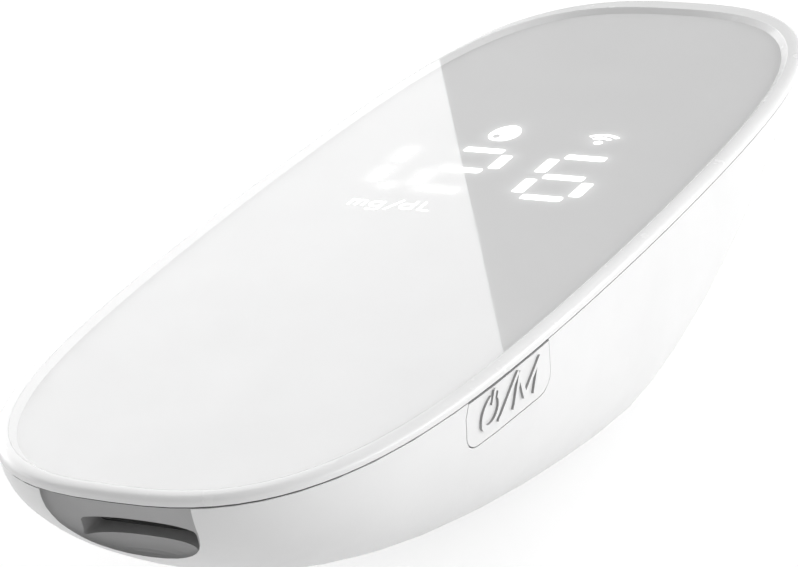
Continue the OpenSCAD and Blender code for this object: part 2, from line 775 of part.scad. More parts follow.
module board_parts() color("peru") {
  for (i = [0:5])
    chip(-5 + 2 * i, chip_y + chip_w / 2 + 2.2 + small_l / 2, small_l / 2, small_l, small_h);
  for (i = [0:3])
    chip(-4 + 2.4 * i, chip_y - chip_w / 2 - 3 - small_l / 4, small_l, small_l / 2, small_h);
  chip(2.2 + chip_w / 2, chip_y, small_l * 1.6, small_l * 2.2, small_h * 1.6);
  chip(-5, board_y1 - 2.4, small_l * 2.2, small_l * 2, small_h * 1.8);
}

// ---------- strip port ----------

module strip_port_insert() color("dimgray") difference() {
  insert_solid(0);
  funnel();
}

module strip_connector() color("ivory") difference() {
  translate([-connector_w / 2, connector_y, board_z]) cube([connector_w, connector_l, connector_h]);
  translate([-strip_w / 2, connector_y - 1, strip_z]) cube([strip_w, connector_l - 0.6 + 1, strip_h]);
  // way for the ejector finger
  translate([-rod_w / 2 - slide_gap, connector_y + connector_l - 2, strip_z])
    cube([rod_w + 2 * slide_gap, 3, strip_h]);
  // contact slots
  for (i = [-2:2]) translate([i * 1.15 - 0.3, connector_y + 1.5, strip_z + strip_h - e])
    cube([0.6, connector_l - 2.5, connector_h]);
}

module strip_contacts() color("gold") for (i = [-2:2])
  translate([i * 1.15 - 0.2, connector_y + 2, strip_z + strip_h]) {
    cube([0.4, connector_l - 3.5, 0.25]);
    translate([0, connector_l - 4, 0]) cube([0.4, 0.5, 1]);
  }

// ---------- power button and its switch ----------

plate_x = body_w / 2 - 4.2;     // inner face of the retaining plate
switch_y = button_y + button_l / 2;
switch_z = board_z + 1.9;

// Power sign, slash and letter, drawn upright and leaned
module button_marks() {
  z0 = button_z + 0.9;
  translate([button_y + 2.3, z0]) multmatrix([[1, mark_lean, 0, 0], [0, 1, 0, 0]]) {
    translate([0, 1]) {
      difference() {
        ring2d(0.98, mark_w);
        translate([-0.42, 0]) square([0.84, 2]);
      }
      stroke2d([0, 0.5], [0, 1.25], mark_w * 0.8);
    }
    stroke2d([1.45, 0], [3.05, 2.15], mark_w);
    for (s = [[[3.4, 0], [3.4, 2]], [[3.4, 2], [4.7, 0.2]], [[4.7, 0.2], [6.1, 2]],
              [[6.1, 2], [6.1, 0]]])
      stroke2d(s[0], s[1], mark_w);
  }
}

module power_button() color("white") {
  intersection() {
    case_solid();
    on_side(plate_x + plate_t - e, body_w / 2 + 1) button_side(0, -0.12);
  }
  intersection() {
    case_solid(-mark_rise);
    on_side(plate_x + plate_t, body_w / 2 + 1) button_marks();
  }
  // retaining plate behind the case wall and the finger that meets the switch
  translate([plate_x, button_y - 0.7, button_z + 0.3]) cube([plate_t, button_l + 1.4, 2.3]);
  translate([plate_x - 0.5, switch_y - 1, switch_z - 0.5]) cube([0.5 + e, 2, 1]);
}

switch_x = plate_x - 0.5 - button_travel - 0.15;    // outer face of the switch body
plunger_d = 1.6;

module switch_body() color("dimgray") difference() {
  translate([switch_x - 3, switch_y - 2.3, board_z]) cube([3, 4.6, 3.5]);
  translate([switch_x - 1.3, switch_y, switch_z]) rotate([0, 90, 0])
    cylinder(d = plunger_d + 0.1, h = 2, $fn = 32);
}

module switch_plunger() color("black")
  translate([switch_x - 0.8, switch_y, switch_z]) rotate([0, 90, 0])
    cylinder(d = plunger_d, h = 0.8 + plate_x - 0.5 - switch_x, $fn = 32);

// ---------- strip ejector ----------

rod_z = board_z + 0.4;
rod_x = -board_w / 2 + 0.6;     // outer face of the long rod
rod_y = connector_y + connector_l + ejector_travel + 0.6;   // near face of the cross rod
finger_y = connector_y + connector_l - 0.4;

module ejector_slider() color("white") {
  translate([thumb_x - thumb_t, slider_y - thumb_l / 2, slider_z - thumb_h / 2])
    cube([thumb_t, thumb_l, thumb_h]);
  for (i = [-2:2]) translate([thumb_x - thumb_t - 0.15, slider_y + i * 1.1 - 0.25,
                              slider_z - thumb_h / 2 + 0.4])
    cube([0.15 + e, 0.5, thumb_h - 0.8]);
  translate([thumb_x - e, slider_y - lug_l / 2, slider_z - lug_h / 2])
    cube([rod_x - thumb_x + e, lug_l, lug_h]);
}

module ejector_carriage() color("silver") {
  translate([rod_x, rod_y, rod_z]) cube([rod_w, slider_y + lug_l / 2 - rod_y, rod_w]);
  translate([rod_x, slider_y - lug_l / 2, rod_z + rod_w - e])
    cube([rod_w, lug_l, slider_z + lug_h / 2 - rod_z - rod_w + e]);
  translate([rod_x, rod_y, rod_z]) cube([rod_w / 2 - rod_x, rod_w, rod_w]);
  translate([-rod_w / 2, finger_y, strip_z + 0.12]) cube([rod_w, rod_y - finger_y + e, strip_h - 0.24]);
}

// the spring reaches from the carriage's post to the mask
spring_turns = 7;
spring_y = slider_y + lug_l / 2 + 0.05 + spring_wire / 2;
spring_l = mask_y0 - 0.05 - spring_wire / 2 - spring_y;
spring_sides = 6;
spring_rings = spring_turns * 8;

function spring_point(i, s) =
  let (a = 360 * spring_turns * i / spring_rings, b = 360 * s / spring_sides,
       r = (spring_d - spring_wire) / 2 + spring_wire / 2 * cos(b))
  [r * cos(a), spring_l * i / spring_rings + spring_wire / 2 * sin(b), r * sin(a)];

module ejector_spring() color("silver")
  translate([rod_x + rod_w / 2, spring_y, rod_z + spring_d / 2 - 0.15])
    polyhedron(
      points = [for (i = [0:spring_rings]) for (s = [0:spring_sides - 1]) spring_point(i, s)],
      faces = concat(
        [[for (s = [0:spring_sides - 1]) s]],
        [for (i = [0:spring_rings - 1]) for (s = [0:spring_sides - 1])
          let (a = i * spring_sides + s, b = i * spring_sides + (s + 1) % spring_sides)
          each [[a, a + spring_sides, b], [b, a + spring_sides, b + spring_sides]]],
        [[for (s = [spring_sides - 1:-1:0]) spring_rings * spring_sides + s]]
      )
    );

// ---------- battery ----------

cell_w = body_w - 2 * cell_inset;
cell_l = body_l - 2 * cell_to_tips;
tray_z = board_z - board_t - cell_t - tray_t - 0.9;
foam_z = wall - keel_extra + foam_rise;
cell_z = tray_z + tray_t + 0.05;

module battery_cell() color("lightsteelblue")
  translate([-cell_w / 2, cell_y - cell_l / 2, cell_z]) linear_extrude(cell_t)
    round_rect(cell_w, cell_l, 1.5);

module battery_tray() color("dimgray") difference() {
  translate([-cell_w / 2 - 0.9, cell_y - cell_l / 2 - 0.9, tray_z])
    cube([cell_w + 1.8, cell_l + 1.8, tray_t + 2.5]);
  translate([-cell_w / 2 - 0.1, cell_y - cell_l / 2 - 0.1, tray_z + tray_t])
    cube([cell_w + 0.2, cell_l + 0.2, cell_t]);
}

module battery_foam() color("darkslategray")
  translate([-cell_w / 2 + foam_side, cell_y - cell_l / 2 + foam_end, foam_z])
    cube([cell_w - 2 * foam_side, cell_l - 2 * foam_end, tray_z - foam_z]);

module battery_tabs() color("silver") for (s = [-1, 1])
  translate([s * 4 - 1, cell_y + cell_l / 2 + 0.05, cell_z + cell_t - 1.2])
    cube([2, 0.15, board_z - board_t - cell_z - cell_t + 1.2]);

// ---------- charging socket ----------

module charging_socket() color("silver") difference() {
  translate([socket_x, socket_y - socket_w / 2, socket_z]) rotate([90, 0, 90])
    linear_extrude(socket_l) round_rect(socket_w, socket_h, 0.8);
  translate([socket_x - 1, socket_y - socket_w / 2 + shell_t, socket_z + shell_t])
    rotate([90, 0, 90]) linear_extrude(socket_l + 1 - shell_t)
      round_rect(socket_w - 2 * shell_t, socket_h - 2 * shell_t, 0.6);
}

module socket_tongue() color("black")
  translate([socket_x + 0.8, socket_y - 1.9, socket_z + socket_h / 2])
    cube([socket_l - 0.8 - shell_t, 3.8, 0.55]);

lower_housing();
cover_frame();
cover_lens();
cover_seal();
display_mask();
light_guides();
digit_left();
digit_middle();
digit_right();
decimal_point();
drop_icon();
radio_icon();
unit_mark();
led_array();
main_board();
board_screws();
processor_chip();
radio_module();
board_parts();
strip_port_insert();
strip_connector();
strip_contacts();
power_button();
switch_body();
switch_plunger();
ejector_slider();
ejector_carriage();
ejector_spring();
battery_cell();
battery_tray();
battery_foam();
battery_tabs();
charging_socket();
socket_tongue();
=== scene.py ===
"""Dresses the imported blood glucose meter: fine smooth surfaces, a lit display and a plain studio."""

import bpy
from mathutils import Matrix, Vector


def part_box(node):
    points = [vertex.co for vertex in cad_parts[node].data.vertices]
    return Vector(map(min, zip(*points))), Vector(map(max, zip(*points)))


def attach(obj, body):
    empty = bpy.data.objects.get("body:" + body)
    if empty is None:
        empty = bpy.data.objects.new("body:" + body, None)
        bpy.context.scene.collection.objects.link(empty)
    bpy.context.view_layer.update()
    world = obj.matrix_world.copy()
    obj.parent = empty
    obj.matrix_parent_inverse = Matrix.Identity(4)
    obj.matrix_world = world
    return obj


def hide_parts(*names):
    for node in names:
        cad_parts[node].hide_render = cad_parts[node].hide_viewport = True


bl_info = {
    "name": "Glucose Meter Dressing",
    "version": (1, 0, 0),
    "blender": (4, 5, 0),
    "location": "3D View > Sidebar > Meter",
    "description": "Builds the visible surfaces, finishes and studio of a pocket blood glucose meter",
    "category": "Object",
}

import math

import bpy
from bpy.props import FloatProperty, FloatVectorProperty, IntProperty, PointerProperty
from bpy.types import Operator, Panel, PropertyGroup
from mathutils import Matrix, Vector

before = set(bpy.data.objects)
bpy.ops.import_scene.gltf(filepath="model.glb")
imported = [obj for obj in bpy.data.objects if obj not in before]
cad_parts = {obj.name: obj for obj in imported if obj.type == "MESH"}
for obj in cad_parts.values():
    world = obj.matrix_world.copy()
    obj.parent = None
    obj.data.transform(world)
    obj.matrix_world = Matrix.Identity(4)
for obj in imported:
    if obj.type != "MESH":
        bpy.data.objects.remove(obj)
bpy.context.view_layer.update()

MM = 0.001
MERGE = 0.000015        # points of a CAD mesh nearer than this become one
NEAR = 0.00001          # heights nearer than this are taken as the same
LEVEL = 0.999           # a face whose normal rises at least this much is level

LENS_LOW, LENS_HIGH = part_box("cover_lens")
SEAM_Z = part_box("cover_seal")[0].z
HALO_INLAYS = ("digit_left", "digit_middle", "digit_right", "decimal_point", "drop_icon",
               "radio_icon")
INLAYS = (*HALO_INLAYS, "unit_mark")

# A noise texture mostly stays between these values.
SWING = (0.3, 0.7)

# Grain of the small inner mouldings
INNER_GRAIN = 0.0002


# ---------- sizes and colours that a user would change ----------

class MeterCaseSettings(PropertyGroup):
    """White mouldings of the case, cover, button and ejector"""
    white: FloatVectorProperty(
        name="Case white", description="Colour of the white mouldings", subtype="COLOR",
        size=3, min=0, max=1, default=(0.86, 0.86, 0.86))
    roughness: FloatProperty(
        name="Roughness", description="Roughness of the lower case", min=0, max=1, default=0.42)
    grain: FloatProperty(
        name="Grain size", description="Size of the fine mould grain", unit="LENGTH",
        min=0.00002, max=0.002, default=0.00016)
    grain_depth: FloatProperty(
        name="Grain depth", description="Depth of the mould grain", unit="LENGTH",
        min=0, max=0.0001, default=0.0000025)
    # Painted shade: the scoop round the strip port is white plastic, and this grey stands in for its
    # shade.
    port_grey: FloatVectorProperty(
        name="Port grey", description="Colour of the scoop round the strip port", subtype="COLOR",
        size=3, min=0, max=1, default=(0.46, 0.46, 0.462))
    # Painted shade: the sides of the raised marks are white plastic, and this grey stands in for their
    # shade.
    mark_shade: FloatVectorProperty(
        name="Mark sides", description="Colour of the sides of the button's raised marks",
        subtype="COLOR", size=3, min=0, max=1, default=(0.36, 0.36, 0.36))
    # The scoop width and height bound the grey painted shade in the nose.
    scoop_width: FloatProperty(
        name="Scoop width", description="Width of the grey scoop in the nose at the seam",
        unit="LENGTH", min=0.008, max=0.014, default=0.011)
    scoop_height: FloatProperty(
        name="Scoop height", description="Depth of the grey scoop below the seam", unit="LENGTH",
        min=0.004, max=0.007, default=0.00545)


class MeterFaceSettings(PropertyGroup):
    """Glossy face, its print and its light"""
    print_tone: FloatVectorProperty(
        name="Face tone", description="Colour of the print behind the lens", subtype="COLOR",
        size=3, min=0, max=1, default=(0.80, 0.80, 0.80))
    fade: FloatProperty(
        name="Edge fade", description="Width over which the print fades into the white border",
        unit="LENGTH", min=0, max=0.001, default=0.0005)
    lamp_strength: FloatProperty(
        name="Digit light", description="Strength of the lit bars", min=0, max=10, default=1.25)
    halo: FloatProperty(
        name="Halo", description="Strength of the soft light around the bars", min=0, max=2,
        default=0.07)
    halo_reach: FloatProperty(
        name="Halo reach", description="How far that light spreads", unit="LENGTH",
        min=0.0001, max=0.005, default=0.0009)
    halo_step: FloatProperty(
        name="Halo grid", description="Spacing of the points that carry the halo", unit="LENGTH",
        min=0.0001, max=0.002, default=0.00025)


class MeterStageSettings(PropertyGroup):
    """Camera, lamps and floor"""
    azimuth: FloatProperty(
        name="Azimuth", description="Camera's angle round the meter", subtype="ANGLE",
        default=math.radians(28.798))
    elevation: FloatProperty(
        name="Elevation", description="Camera's angle above the floor", subtype="ANGLE",
        default=math.radians(22.364))
    roll: FloatProperty(
        name="Roll", description="Camera's turn about its own line of sight", subtype="ANGLE",
        default=math.radians(-6.204))
    distance: FloatProperty(
        name="Distance", description="Camera's distance from the face", unit="LENGTH",
        min=0.05, max=5, default=0.26)
    aim: FloatVectorProperty(
        name="Aim", description="Sideways and upward move of the picture's middle", unit="LENGTH",
        size=2, default=(0.00306, 0.00459))
    focal: FloatProperty(
        name="Focal length", description="Focal length in pixels of a picture 798 pixels wide",
        min=100, max=20000, default=3569.07)
    picture_width: IntProperty(
        name="Picture width", description="Width of the picture in pixels", min=1, default=798)
    ambient: FloatProperty(
        name="Ambient", description="Strength of the even white light", min=0, max=5, default=0.50)
    right_power: FloatProperty(
        name="Right lamp", description="Power of the large lamp beside the power button",
        unit="POWER", min=0, max=50, default=1.76)
    left_power: FloatProperty(
        name="Left lamp", description="Power of the large lamp beside the ejector",
        unit="POWER", min=0, max=50, default=1.2)
    top_power: FloatProperty(
        name="Top lamp", description="Power of the large lamp over the face", unit="POWER",
        min=0, max=50, default=0.8)
    softbox_tone: FloatProperty(
        name="Softbox", description="Brightness of the softbox mirrored in the face", min=0,
        max=20, default=2.6)
    floor_white: FloatProperty(
        name="Floor white", description="Tone with which the floor lights the meter", min=0, max=1,
        default=0.85)
    floor_shade: FloatProperty(
        name="Floor shade", description="Tone of the seen floor that takes the shadow", min=0,
        max=1, default=0.4)
    floor_light: FloatProperty(
        name="Floor light", description="Light that the seen floor adds to that tone", min=0,
        max=2, default=0.71)


SETTINGS = {"meter_case": MeterCaseSettings, "meter_face": MeterFaceSettings,
            "meter_stage": MeterStageSettings}


# ---------- modelling helpers ----------

def only(obj):
    """Select obj alone and make it active."""
    if bpy.context.object and bpy.context.object.mode != "OBJECT":
        bpy.ops.object.mode_set(mode="OBJECT")
    bpy.ops.object.select_all(action="DESELECT")
    obj.select_set(True)
    bpy.context.view_layer.objects.active = obj


def added_plane(name, size):
    """A new square of this size at the origin."""
    bpy.ops.object.select_all(action="DESELECT")
    bpy.ops.mesh.primitive_plane_add(size=size, location=(0, 0, 0))
    obj = bpy.context.object
    obj.name = obj.data.name = name
    return obj


def same_height(a, b):
    return abs(a - b) < NEAR


def merged_copy(node, name, crease, level=None):
    """A copy of a CAD node, its triangles joined and shaded smooth; those at level stay flat."""
    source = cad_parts[node]
    obj = bpy.data.objects.new(name, source.data.copy())
    bpy.context.scene.collection.objects.link(obj)
    obj.data.name = name
    obj.data.materials.clear()
    only(obj)
    bpy.ops.mesh.customdata_custom_splitnormals_clear()
    bpy.ops.object.mode_set(mode="EDIT")
    bpy.ops.mesh.select_all(action="SELECT")
    bpy.ops.mesh.remove_doubles(threshold=MERGE)
    bpy.ops.mesh.dissolve_degenerate(threshold=MERGE)
    bpy.ops.object.mode_set(mode="OBJECT")
    bpy.ops.object.shade_smooth_by_angle(angle=math.radians(crease))
    if level is not None:
        for v in obj.data.vertices:
            if same_height(v.co.z, level):
                v.co.z = level
        for f in obj.data.polygons:
            if abs(f.normal.z) > LEVEL and same_height(f.center.z, level):
                f.use_smooth = False
    return obj


def draw_in(vertex, width):
    """Move a point of the lens's outline inwards by about width."""
    for axis in (0, 1):
        middle = (LENS_LOW[axis] + LENS_HIGH[axis]) / 2
        reach = (LENS_HIGH[axis] - LENS_LOW[axis]) / 2
        vertex.co[axis] = middle + (vertex.co[axis] - middle) * (1 - width / reach)


def triangle_distance(p, tri):
    """Distance of p from a triangle in the plane, 0 inside it."""
    tiny = 1e-18
    inside = None
    best = math.inf
    for i in range(3):
        a, b = tri[i], tri[(i + 1) % 3]
        edge, to = b - a, p - a
        side = edge.x * to.y - edge.y * to.x
        inside = (side >= 0) if inside is None else inside and side >= 0
        t = max(0.0, min(1.0, to.dot(edge) / max(edge.length_squared, tiny)))
        best = min(best, (to - edge * t).length)
    return 0.0 if inside else best


def paint(obj, *materials):
    """Give obj these materials, the first one all over."""
    obj.data.materials.clear()
    for m in materials:
        obj.data.materials.append(m)


# ---------- material helpers ----------

class Finish:
    """A node material under construction."""

    def __init__(self, name, rough=0.5, metal=0.0, **sockets):
        self.mat = bpy.data.materials.new(name)
        self.mat.use_nodes = True
        self.tree = self.mat.node_tree
        self.shader = self.tree.nodes["Principled BSDF"]
        self.output = self.tree.nodes["Material Output"]
        self.shader.inputs["Roughness"].default_value = rough
        self.shader.inputs["Metallic"].default_value = metal
        for key, value in sockets.items():
            self.shader.inputs[key.replace("_", " ")].default_value = value
        self.place = self.node("ShaderNodeTexCoord").outputs["Object"]

    @classmethod
    def bare(cls, name):
        """A material without the usual shader, for one put together from others."""
        f = cls(name)
        f.tree.nodes.remove(f.shader)
        return f

    def node(self, kind, **values):
        n = self.tree.nodes.new(kind)
        for key, value in values.items():
            setattr(n, key, value)
        return n

    def link(self, a, b):
        self.tree.links.new(a, b)

    def finish(self, socket):
        self.link(socket, self.output.inputs["Surface"])

    def stretched(self, scale):
        """Object coordinates stretched by scale on each axis."""
        n = self.node("ShaderNodeMapping")
        n.inputs["Scale"].default_value = scale
        self.link(self.place, n.inputs["Vector"])
        return n.outputs["Vector"]

    def noise(self, size, detail=2.0, vector=None):
        """Cloudy pattern with features about size across."""
        n = self.node("ShaderNodeTexNoise")
        n.inputs["Scale"].default_value = 1 / size
        n.inputs["Detail"].default_value = detail
        self.link(vector or self.place, n.inputs["Vector"])
        return n.outputs["Fac"]

    def cells(self, size, feature="F1"):
        """Pattern of cells about size across."""
        n = self.node("ShaderNodeTexVoronoi", feature=feature)
        n.inputs["Scale"].default_value = 1 / size
        self.link(self.place, n.inputs["Vector"])
        return n.outputs["Distance"]

    def span(self, value, low, high, start=0.0, end=1.0):
        """value moved from low..high to start..end."""
        n = self.node("ShaderNodeMapRange")
        for key, x in (("From Min", low), ("From Max", high), ("To Min", start), ("To Max", end)):
            n.inputs[key].default_value = x
        self.link(value, n.inputs["Value"])
        return n.outputs["Result"]

    def math(self, operation, a, b):
        """One sum of two values, each a socket or a number."""
        n = self.node("ShaderNodeMath", operation=operation)
        for i, x in enumerate((a, b)):
            if isinstance(x, (int, float)):
                n.inputs[i].default_value = x
            else:
                self.link(x, n.inputs[i])
        return n.outputs[0]

    def blend(self, value, dark, light):
        """Colour between dark and light by value."""
        n = self.node("ShaderNodeMix", data_type="RGBA")
        n.inputs["A"].default_value = (*dark, 1)
        n.inputs["B"].default_value = (*light, 1)
        self.link(value, n.inputs["Factor"])
        return n.outputs["Result"]

    def mottled(self, value, colour, dark, light):
        """Base colour from dark to light times colour, by a noise value."""
        tone = self.blend(self.span(value, *SWING), scaled(colour, dark), scaled(colour, light))
        self.link(tone, self.shader.inputs["Base Color"])
        return tone

    def rough(self, socket):
        self.link(socket, self.shader.inputs["Roughness"])

    def bump(self, height, depth, below=None):
        """Raise the surface by height, which runs from 0 to 1, times depth in metres."""
        n = self.node("ShaderNodeBump")
        n.inputs["Distance"].default_value = depth
        n.inputs["Strength"].default_value = 1
        self.link(height, n.inputs["Height"])
        if below is not None:
            self.link(below, n.inputs["Normal"])
        self.link(n.outputs["Normal"], self.shader.inputs["Normal"])
        return n.outputs["Normal"]

    def emission(self, strength):
        """A light shader whose strength is a number or a socket."""
        light = self.node("ShaderNodeEmission")
        if isinstance(strength, (int, float)):
            light.inputs["Strength"].default_value = strength
        else:
            self.link(strength, light.inputs["Strength"])
        return light.outputs[0]

    def diffuse(self, grey):
        n = self.node("ShaderNodeBsdfDiffuse")
        n.inputs["Color"].default_value = (grey, grey, grey, 1)
        return n.outputs[0]

    def sum(self, a, b):
        n = self.node("ShaderNodeAddShader")
        self.link(a, n.inputs[0])
        self.link(b, n.inputs[1])
        return n.outputs[0]

    def mix(self, factor, a, b):
        n = self.node("ShaderNodeMixShader")
        self.link(factor, n.inputs["Fac"])
        self.link(a, n.inputs[1])
        self.link(b, n.inputs[2])
        return n.outputs[0]


def scaled(colour, factor):
    return tuple(min(1.0, c * factor) for c in colour[:3])


def moulded(name, colour, rough, grain, depth, tone=0.02, rough_swing=0.05):
    """Injection moulded plastic: faint flow clouds, fine mould grain and uneven gloss."""
    f = Finish(name, rough)
    f.mottled(f.noise(size=0.009, detail=3), colour, 1 - tone, 1 + tone)
    gloss = f.noise(size=grain * 9, detail=3)
    f.rough(f.span(gloss, *SWING, rough - rough_swing, rough + rough_swing))
    coarse = f.bump(f.noise(size=grain * 6), depth * 2)
    f.bump(f.noise(size=grain), depth, coarse)
    return f.mat


def metal(name, colour, rough, along, line=0.00008):
    """Sheet or wire metal with drawing lines along one axis."""
    f = Finish(name, rough, metal=1.0)
    scale = [1.0, 1.0, 1.0]
    scale["XYZ".index(along)] = 0.04
    lines = f.noise(line, detail=3, vector=f.stretched(scale))
    f.mottled(f.noise(size=0.004, detail=4), colour, 0.88, 1.04)
    f.rough(f.span(lines, 0.25, 0.75, rough - 0.08, rough + 0.12))
    f.bump(lines, depth=0.0000015)
    return f.mat


def laminate(name, colour):
    """Solder mask with faint copper tracks under it."""
    f = Finish(name)
    bricks = f.node("ShaderNodeTexBrick", offset=0.5)
    f.link(f.place, bricks.inputs["Vector"])
    for key, value in (("Scale", 420), ("Mortar Size", 0.012), ("Brick Width", 0.9),
                       ("Row Height", 0.3)):
        bricks.inputs[key].default_value = value
    tracks = bricks.outputs["Fac"]
    weave = f.noise(size=0.0006, detail=3)
    mask = f.mottled(weave, colour, 0.85, 1.1)
    mix = f.node("ShaderNodeMix", data_type="RGBA")
    f.link(tracks, mix.inputs["Factor"])
    f.link(mask, mix.inputs["A"])
    mix.inputs["B"].default_value = (*scaled(colour, 1.7), 1)
    f.link(mix.outputs["Result"], f.shader.inputs["Base Color"])
    f.rough(f.span(weave, *SWING, 0.28, 0.42))
    f.bump(tracks, 0.00003, f.bump(weave, 0.000008))
    return f.mat


def foil(name, colour):
    """Laminated foil pouch with soft creases."""
    f = Finish(name, metal=1.0)
    folds = f.span(f.cells(0.0035, "DISTANCE_TO_EDGE"), 0.0, 0.12)
    crumple = f.noise(size=0.0016, detail=3)
    f.mottled(crumple, colour, 0.9, 1.05)
    f.rough(f.span(crumple, *SWING, 0.25, 0.42))
    f.bump(folds, 0.00004, f.bump(crumple, 0.00006))
    return f.mat


def foam(name, colour):
    """Closed-cell foam with open cut cells."""
    f = Finish(name)
    wide = 0.7
    cells = f.cells(0.0005)
    tone = f.blend(f.span(cells, 0.0, wide), scaled(colour, 0.5), scaled(colour, 1.3))
    f.link(tone, f.shader.inputs["Base Color"])
    f.rough(f.span(cells, 0.0, wide, 1.0, 0.85))
    f.bump(cells, 0.0002, f.bump(f.noise(size=0.003, detail=3), 0.0001))
    return f.mat


def guide(name, colour):
    """Clear acrylic light guide with faint flow lines."""
    f = Finish(name, IOR=1.49, Transmission_Weight=1.0)
    flow = f.noise(size=0.002, vector=f.stretched((1, 1, 0.2)))
    f.mottled(flow, colour, 0.96, 1.03)
    f.rough(f.span(flow, *SWING, 0.03, 0.1))
    f.bump(flow, 0.00001)
    return f.mat


def lit_inlay(name, colour, strength):
    """Diffusing plastic lit from behind, with a slight mottle in its light."""
    f = Finish(name)
    mottle = f.noise(size=0.0012, detail=3)
    tone = f.mottled(mottle, colour, 0.96, 1.0)
    f.link(tone, f.shader.inputs["Emission Color"])
    f.shader.inputs["Emission Strength"].default_value = strength
    f.rough(f.span(mottle, *SWING, 0.45, 0.55))
    f.bump(f.noise(size=0.0001), 0.000002)
    return f.mat


def clear_lens(name, halo):
    """Clear polished window that mirrors by Fresnel; its underside shines by the glow attribute."""
    f = Finish.bare(name)
    ripple = f.node("ShaderNodeBump")
    ripple.inputs["Distance"].default_value = 0.000004
    f.link(f.noise(size=0.02, detail=1), ripple.inputs["Height"])
    fresnel = f.node("ShaderNodeFresnel")
    fresnel.inputs["IOR"].default_value = 1.5
    f.link(ripple.outputs["Normal"], fresnel.inputs["Normal"])
    clear = f.node("ShaderNodeBsdfTransparent")
    clear.inputs["Color"].default_value = (0.98, 0.98, 0.98, 1)
    mirror = f.node("ShaderNodeBsdfGlossy")
    f.link(f.span(f.noise(size=0.003, detail=3), *SWING, 0.01, 0.03), mirror.inputs["Roughness"])
    f.link(ripple.outputs["Normal"], mirror.inputs["Normal"])
    inside = f.node("ShaderNodeNewGeometry").outputs["Backfacing"]
    mirrored = f.math("MULTIPLY", fresnel.outputs["Fac"], f.math("SUBTRACT", 1.0, inside))
    window = f.mix(mirrored, clear.outputs[0], mirror.outputs[0])
    glow = f.node("ShaderNodeAttribute", attribute_name="glow").outputs["Fac"]
    mottle = f.span(f.noise(size=0.0015, detail=3), *SWING, 0.92, 1.08)
    power = f.math("MULTIPLY", f.math("MULTIPLY", glow, mottle), halo)
    f.finish(f.sum(window, f.emission(power)))
    return f.mat


# ---------- pieces ----------

class METER_OT_case(Operator):
    """Builds the smooth lower case, with the white face of the strip port painted grey as shade"""
    bl_idname = "meter.case"
    bl_label = "Lower case"

    def execute(self, context):
        s = context.scene.meter_case
        case = merged_copy("lower_housing", "case_shell", crease=22)
        # The second material is the grey painted shade on the white scoop of the strip port.
        paint(case,
              moulded("case_white", s.white, s.roughness, s.grain, s.grain_depth),
              moulded("port_grey", s.port_grey, 0.5, s.grain, s.grain_depth * 2))
        self.paint_scoop_shade(case, s)
        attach(case, "case")
        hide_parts("lower_housing")
        return {"FINISHED"}

    def paint_scoop_shade(self, case, s):
        """Give the second material, grey painted shade, to the scoop, whose outline is part of a
        rounded oval.
        """
        down_power, side_power, slack = 3, 2.4, 0.01 * MM
        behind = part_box("strip_connector")[0].y
        for face in case.data.polygons:
            depth = SEAM_Z - face.center.z
            if face.center.y < behind and 0 < depth < s.scoop_height:
                share = (1 - (depth / s.scoop_height) ** down_power) ** (1 / side_power)
                if abs(face.center.x) < s.scoop_width / 2 * share + slack:
                    face.material_index = 1


class METER_OT_cover(Operator):
    """Builds the cover with its printed floor, and finishes the seal"""
    bl_idname = "meter.cover"
    bl_label = "Cover"

    def execute(self, context):
        s = context.scene.meter_case
        face = context.scene.meter_face
        cover = merged_copy("cover_frame", "cover_shell", crease=60, level=LENS_LOW.z)
        self.slope_pocket(cover, face.fade)
        paint(cover,
              moulded("cover_white", s.white, 0.24, s.grain, s.grain_depth * 0.4,
                      tone=0.01, rough_swing=0.04),
              moulded("face_print", face.print_tone, 0.5, grain=0.0003, depth=0.000002,
                      tone=0.012))
        for f in cover.data.polygons:
            if f.normal.z > 0.99 and abs(f.center.z - LENS_LOW.z) < 2 * NEAR:
                f.material_index = 1
        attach(cover, "case")
        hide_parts("cover_frame")
        paint(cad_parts["cover_seal"],
              moulded("seal_rubber", (0.055, 0.055, 0.057), 0.75, INNER_GRAIN,
                      depth=0.000006, tone=0.06))
        return {"FINISHED"}

    def slope_pocket(self, cover, fade):
        """Lean the wall of the lens's pocket, so that the print fades into the border."""
        mesh = cover.data
        foot = set()
        for e in mesh.edges:
            low, high = sorted((mesh.vertices[i] for i in e.vertices), key=lambda v: v.co.z)
            if same_height(low.co.z, LENS_LOW.z) and same_height(high.co.z, LENS_HIGH.z):
                foot.add(low.index)
        for i in foot:
            draw_in(mesh.vertices[i], fade)


